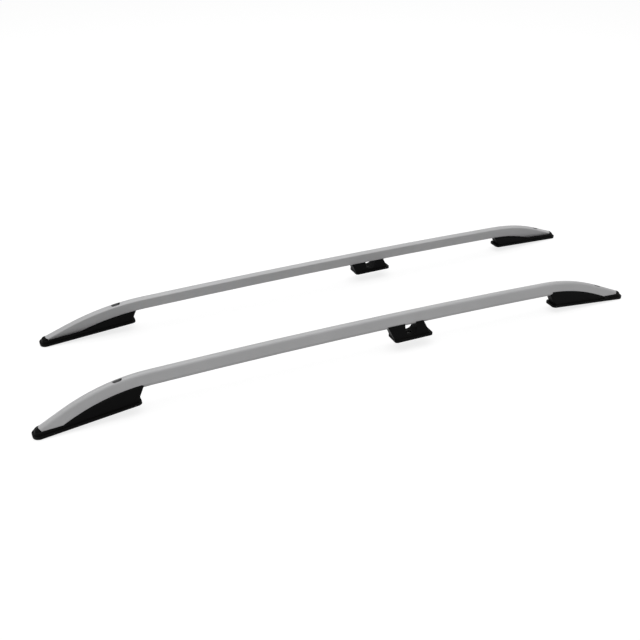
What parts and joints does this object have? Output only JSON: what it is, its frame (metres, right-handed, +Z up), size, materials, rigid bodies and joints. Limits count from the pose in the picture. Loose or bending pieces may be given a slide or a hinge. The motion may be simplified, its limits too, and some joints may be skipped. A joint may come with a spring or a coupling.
{
  "type": "roof side rail pair",
  "caption": "Pair of bent satin aluminium roof side rails, each on black moulded front and rear feet and a middle bracket, for bolting to a vehicle roof.",
  "frame": {"origin": "on the floor, midway between the two rails and midway along the pair", "axes": "+X towards the rear ends of the rails, +Y from the left rail to the right rail, +Z up"},
  "size_m": [1.888, 0.5032, 0.1027],
  "materials": {
    "rail_aluminium": "satin anodised",
    "black_plastic": "fine grained",
    "plug_plastic": "matt",
    "gasket_rubber": "matt",
    "zinc_steel": "zinc plated"
  },
  "bodies": {
    "root": {"left_front_foot": "black_plastic", "left_front_gasket": "gasket_rubber", "left_front_plug": "plug_plastic", "left_front_rivet_nuts": "zinc_steel", "left_front_screws": "zinc_steel", "left_front_sleeve": "zinc_steel", "left_mid_bracket": "black_plastic", "left_mid_gasket": "gasket_rubber", "left_mid_rivet_nuts": "zinc_steel", "left_mid_screws": "zinc_steel", "left_mid_sleeve": "zinc_steel", "left_rail": "rail_aluminium", "left_rear_foot": "black_plastic", "left_rear_gasket": "gasket_rubber", "left_rear_plug": "plug_plastic", "left_rear_rivet_nuts": "zinc_steel", "left_rear_screws": "zinc_steel", "left_rear_sleeve": "zinc_steel", "right_front_foot": "black_plastic", "right_front_gasket": "gasket_rubber", "right_front_plug": "plug_plastic", "right_front_rivet_nuts": "zinc_steel", "right_front_screws": "zinc_steel", "right_front_sleeve": "zinc_steel", "right_mid_bracket": "black_plastic", "right_mid_gasket": "gasket_rubber", "right_mid_rivet_nuts": "zinc_steel", "right_mid_screws": "zinc_steel", "right_mid_sleeve": "zinc_steel", "right_rail": "rail_aluminium", "right_rear_foot": "black_plastic", "right_rear_gasket": "gasket_rubber", "right_rear_plug": "plug_plastic", "right_rear_rivet_nuts": "zinc_steel", "right_rear_screws": "zinc_steel", "right_rear_sleeve": "zinc_steel"}
  },
  "joints": []
}
